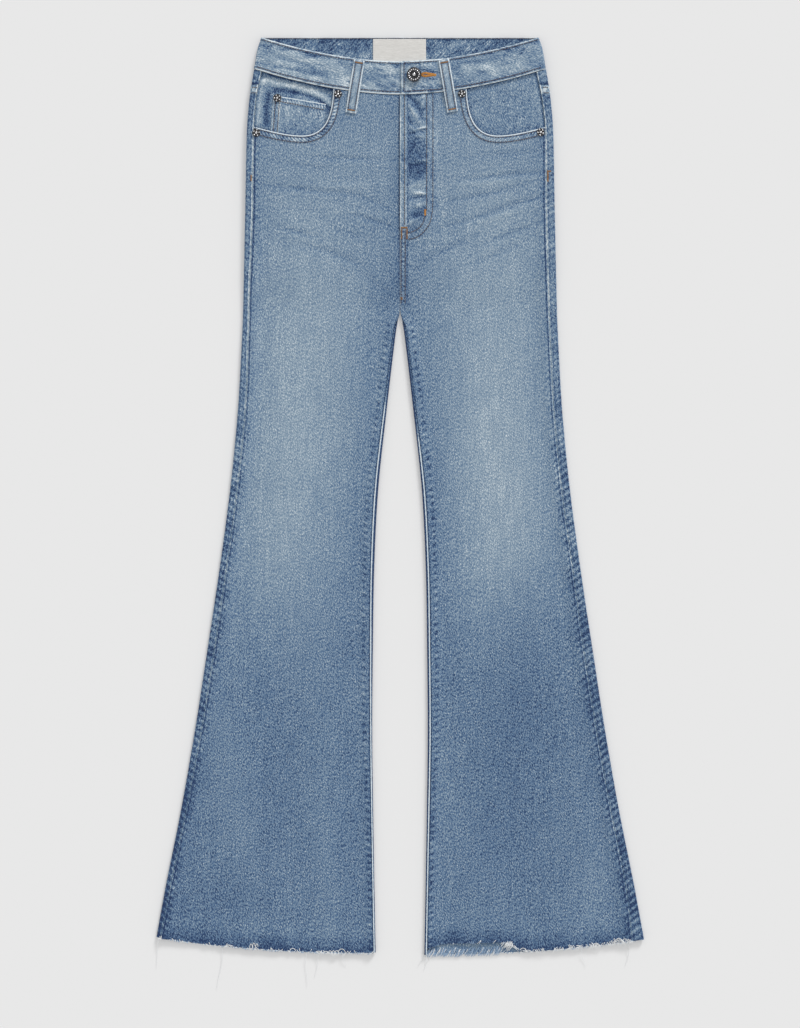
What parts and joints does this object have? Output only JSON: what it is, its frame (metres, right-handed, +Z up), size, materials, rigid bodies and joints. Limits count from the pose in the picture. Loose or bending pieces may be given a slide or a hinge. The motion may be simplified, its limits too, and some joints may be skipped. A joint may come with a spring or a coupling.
{
  "type": "flared jeans",
  "caption": "High-waisted flared jeans laid flat, front up: denim legs, waistband, pockets, belt loops, shank button, rivets and raw frayed hems.",
  "frame": {"origin": "centre of the footprint, on the surface that the garment lies on", "axes": "+X to the viewer's right across the garment, +Y from the hem up to the waist, +Z up from the surface through the front"},
  "size_m": [0.5858, 1.1458, 0.0156],
  "materials": {
    "denim": "stonewashed mid-blue denim, matt, with paler thighs and darker seams",
    "denim_pale": "paler worn denim, mottled, matt",
    "denim_deep": "darker unworn denim, matt",
    "frayed_thread": "loose white and pale blue cotton threads",
    "satin_label": "bare cream satin ribbon",
    "nickel": "polished nickel with dark recesses",
    "dark_nickel": "aged dark nickel with bright raised edges"
  },
  "bodies": {
    "root": {"front_leg_left": "denim", "front_leg_right": "denim", "back_leg_left": "denim", "back_leg_right": "denim", "back_yoke_left": "denim", "back_yoke_right": "denim", "pocket_facing_left": "denim_pale", "pocket_facing_right": "denim_pale", "coin_pocket": "denim_pale", "back_pocket_left": "denim", "back_pocket_right": "denim", "waistband": "denim_pale", "waist_label": "satin_label", "belt_loop_front_left": "denim_pale", "belt_loop_front_right": "denim_pale", "belt_loop_back_left": "denim_deep", "belt_loop_back_centre": "denim_deep", "belt_loop_back_right": "denim_deep", "rivet_coin_pocket": "nickel", "rivet_mouth_inner_left": "nickel", "rivet_mouth_outer_left": "nickel", "rivet_mouth_inner_right": "nickel", "rivet_mouth_outer_right": "nickel", "waist_button": "dark_nickel", "hem_fringe_front_left": "frayed_thread", "hem_fringe_back_left": "frayed_thread", "hem_fringe_front_right": "frayed_thread", "hem_fringe_back_right": "frayed_thread"}
  },
  "joints": []
}
